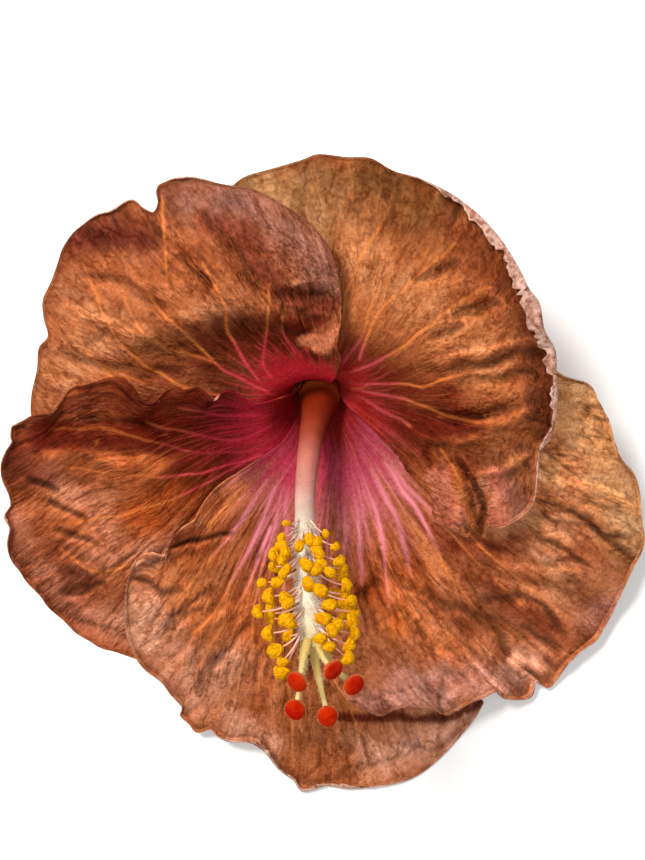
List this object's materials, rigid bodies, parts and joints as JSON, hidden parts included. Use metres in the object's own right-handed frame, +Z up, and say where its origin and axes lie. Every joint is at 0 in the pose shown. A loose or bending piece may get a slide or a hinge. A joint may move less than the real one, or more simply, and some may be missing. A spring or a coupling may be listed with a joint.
{
  "type": "hibiscus bloom",
  "caption": "Open hibiscus flower with overlapping crinkled petals, a pink throat, a long staminal column and a short picked stalk, lying face up.",
  "frame": {"origin": "under the middle of the bounding box, on the surface that the bloom lies on", "axes": "+Z up out of the face, the shortest side; the column leans towards -Y and the stalk lies towards +Y"},
  "size_m": [0.167, 0.164, 0.0742],
  "materials": {
    "petal": "matt, crinkled",
    "column": "waxy",
    "stamen": "granular",
    "style": "finely hairy",
    "stigma": "velvety",
    "calyx": "matt, ribbed",
    "stalk": "matt"
  },
  "bodies": {
    "root": {"petal_upper_left": "petal", "petal_upper_right": "petal", "petal_right": "petal", "petal_bottom": "petal", "petal_left": "petal", "staminal_column": "column", "stamen_01": "stamen", "stamen_02": "stamen", "stamen_03": "stamen", "stamen_04": "stamen", "stamen_05": "stamen", "stamen_06": "stamen", "stamen_07": "stamen", "stamen_08": "stamen", "stamen_09": "stamen", "stamen_10": "stamen", "stamen_11": "stamen", "stamen_12": "stamen", "stamen_13": "stamen", "stamen_14": "stamen", "stamen_15": "stamen", "stamen_16": "stamen", "stamen_17": "stamen", "stamen_18": "stamen", "stamen_19": "stamen", "stamen_20": "stamen", "stamen_21": "stamen", "stamen_22": "stamen", "stamen_23": "stamen", "stamen_24": "stamen", "stamen_25": "stamen", "stamen_26": "stamen", "stamen_27": "stamen", "stamen_28": "stamen", "stamen_29": "stamen", "stamen_30": "stamen", "stamen_31": "stamen", "stamen_32": "stamen", "stamen_33": "stamen", "stamen_34": "stamen", "stamen_35": "stamen", "stamen_36": "stamen", "stamen_37": "stamen", "stamen_38": "stamen", "stamen_39": "stamen", "stamen_40": "stamen", "style_1": "style", "style_2": "style", "style_3": "style", "style_4": "style", "style_5": "style", "stigma_1": "stigma", "stigma_2": "stigma", "stigma_3": "stigma", "stigma_4": "stigma", "stigma_5": "stigma", "calyx": "calyx", "epicalyx": "calyx", "stalk": "stalk"}
  },
  "joints": []
}
